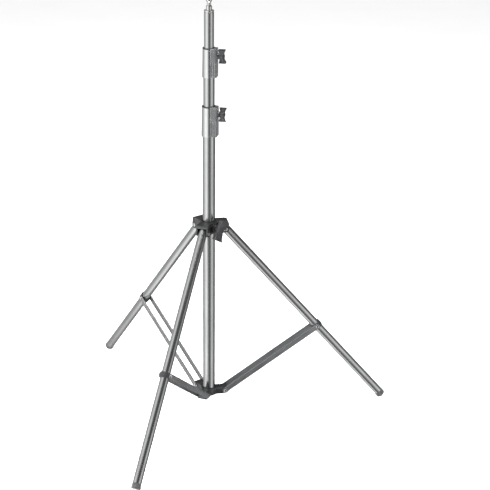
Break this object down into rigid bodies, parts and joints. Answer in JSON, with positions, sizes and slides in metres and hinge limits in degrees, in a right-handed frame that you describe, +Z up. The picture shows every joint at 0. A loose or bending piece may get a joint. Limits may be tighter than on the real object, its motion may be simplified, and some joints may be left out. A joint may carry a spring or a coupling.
{
  "type": "folding lighting stand",
  "caption": "Folding stage lighting stand: telescoping tubular column with split clamp collars and wing knobs, braced folding tripod legs and a lamp stud on top.",
  "frame": {"origin": "on the floor, on the column's axis", "axes": "+Z up the column; +X along the first leg; the other legs at 120 and 240 degrees about +Z"},
  "size_m": [0.8001, 0.9198, 1.2163],
  "materials": {
    "satin_tube": "satin chrome-plated tube",
    "clamp_metal": "bright satin plated sleeve",
    "black_plastic": "fine-grained black moulding with a soft sheen",
    "brace_steel": "dull plated strip with rolled ribs",
    "bright_steel": "bright plated fastener",
    "rubber": "matt black moulded rubber",
    "grey_plastic": "matt light grey moulding"
  },
  "bodies": {
    "column": {"lower_tube": "satin_tube", "column_end_plug": "black_plastic", "brace_collar": "black_plastic", "brace_collar_screw": "bright_steel", "brace_pin_1": "bright_steel", "brace_pin_2": "bright_steel", "brace_pin_3": "bright_steel", "lower_clamp_sleeve": "clamp_metal", "lower_clamp_bush": "black_plastic", "lower_clamp_housing": "black_plastic", "lower_clamp_pad": "grey_plastic"},
    "middle_section": {"middle_tube": "satin_tube", "middle_end_bush": "black_plastic", "upper_clamp_sleeve": "clamp_metal", "upper_clamp_bush": "black_plastic", "upper_clamp_housing": "black_plastic", "upper_clamp_pad": "grey_plastic"},
    "top_section": {"upper_tube": "satin_tube", "upper_end_bush": "black_plastic", "top_flange": "bright_steel", "stud": "bright_steel"},
    "leg_collar": {"leg_collar": "black_plastic", "collar_lining": "black_plastic", "leg_pin_1": "bright_steel", "leg_pin_2": "bright_steel", "leg_pin_3": "bright_steel"},
    "lower_knob": {"lower_clamp_knob": "black_plastic", "lower_clamp_screw": "bright_steel"},
    "upper_knob": {"upper_clamp_knob": "black_plastic", "upper_clamp_screw": "bright_steel"},
    "collar_knob": {"collar_knob": "black_plastic", "collar_bolt": "bright_steel"},
    "leg_1": {"leg_1_tube": "satin_tube", "leg_1_head_plug": "grey_plastic", "leg_1_bracket": "black_plastic", "leg_1_foot": "rubber"},
    "brace_1": {"brace_1_bar_a": "brace_steel", "brace_1_bar_b": "brace_steel", "brace_1_rivet_a": "bright_steel", "brace_1_rivet_b": "bright_steel"},
    "leg_2": {"leg_2_tube": "satin_tube", "leg_2_head_plug": "grey_plastic", "leg_2_bracket": "black_plastic", "leg_2_foot": "rubber"},
    "brace_2": {"brace_2_bar_a": "brace_steel", "brace_2_bar_b": "brace_steel", "brace_2_rivet_a": "bright_steel", "brace_2_rivet_b": "bright_steel"},
    "leg_3": {"leg_3_tube": "satin_tube", "leg_3_head_plug": "grey_plastic", "leg_3_bracket": "black_plastic", "leg_3_foot": "rubber"},
    "brace_3": {"brace_3_bar_a": "brace_steel", "brace_3_bar_b": "brace_steel", "brace_3_rivet_a": "bright_steel", "brace_3_rivet_b": "bright_steel"}
  },
  "joints": [
    {"name": "middle_slide", "type": "slide", "parent": "column", "child": "middle_section", "axis": [0, 0, 1], "range_m": [0, 0.7]},
    {"name": "top_slide", "type": "slide", "parent": "middle_section", "child": "top_section", "axis": [0, 0, 1], "range_m": [0, 0.75]},
    {"name": "leg_collar_slide", "type": "slide", "parent": "column", "child": "leg_collar", "axis": [0, 0, 1], "range_m": [0, 0.2405]},
    {"name": "lower_knob_turn", "type": "hinge", "parent": "column", "child": "lower_knob", "pos_m": [0.02682, -0.01402, 0.894], "axis": [0.9397, -0.342, 0], "range_deg": [0, 360]},
    {"name": "upper_knob_turn", "type": "hinge", "parent": "middle_section", "child": "upper_knob", "pos_m": [0.02494, -0.01333, 1.055], "axis": [0.9397, -0.342, 0], "range_deg": [0, 360]},
    {"name": "collar_knob_turn", "type": "hinge", "parent": "leg_collar", "child": "collar_knob", "pos_m": [0.0185, -0.03204, 0.568], "axis": [0.5, -0.866, 0], "range_deg": [0, 360]},
    {"name": "leg_1_fold", "type": "hinge", "parent": "leg_collar", "child": "leg_1", "pos_m": [0.045, 0, 0.562], "axis": [0, 1, 0], "range_deg": [0, 40.6]},
    {"name": "brace_1_fold", "type": "hinge", "parent": "column", "child": "brace_1", "pos_m": [0.046, 0, 0.059], "axis": [0, -1, 0], "range_deg": [0, 55.6]},
    {"name": "leg_2_fold", "type": "hinge", "parent": "leg_collar", "child": "leg_2", "pos_m": [-0.0225, 0.03897, 0.562], "axis": [-0.866, -0.5, 0], "range_deg": [0, 40.6]},
    {"name": "brace_2_fold", "type": "hinge", "parent": "column", "child": "brace_2", "pos_m": [-0.023, 0.03984, 0.059], "axis": [0.866, 0.5, 0], "range_deg": [0, 55.6]},
    {"name": "leg_3_fold", "type": "hinge", "parent": "leg_collar", "child": "leg_3", "pos_m": [-0.0225, -0.03897, 0.562], "axis": [0.866, -0.5, 0], "range_deg": [0, 40.6]},
    {"name": "brace_3_fold", "type": "hinge", "parent": "column", "child": "brace_3", "pos_m": [-0.023, -0.03984, 0.059], "axis": [-0.866, 0.5, 0], "range_deg": [0, 55.6]}
  ],
  "couplings": [
    {"joint": "leg_1_fold", "follows": "leg_collar_slide", "rad_per_m": 2.9383},
    {"joint": "brace_1_fold", "follows": "leg_collar_slide", "rad_per_m": 4.0218},
    {"joint": "leg_2_fold", "follows": "leg_collar_slide", "rad_per_m": 2.9383},
    {"joint": "brace_2_fold", "follows": "leg_collar_slide", "rad_per_m": 4.0218},
    {"joint": "leg_3_fold", "follows": "leg_collar_slide", "rad_per_m": 2.9383},
    {"joint": "brace_3_fold", "follows": "leg_collar_slide", "rad_per_m": 4.0218}
  ]
}
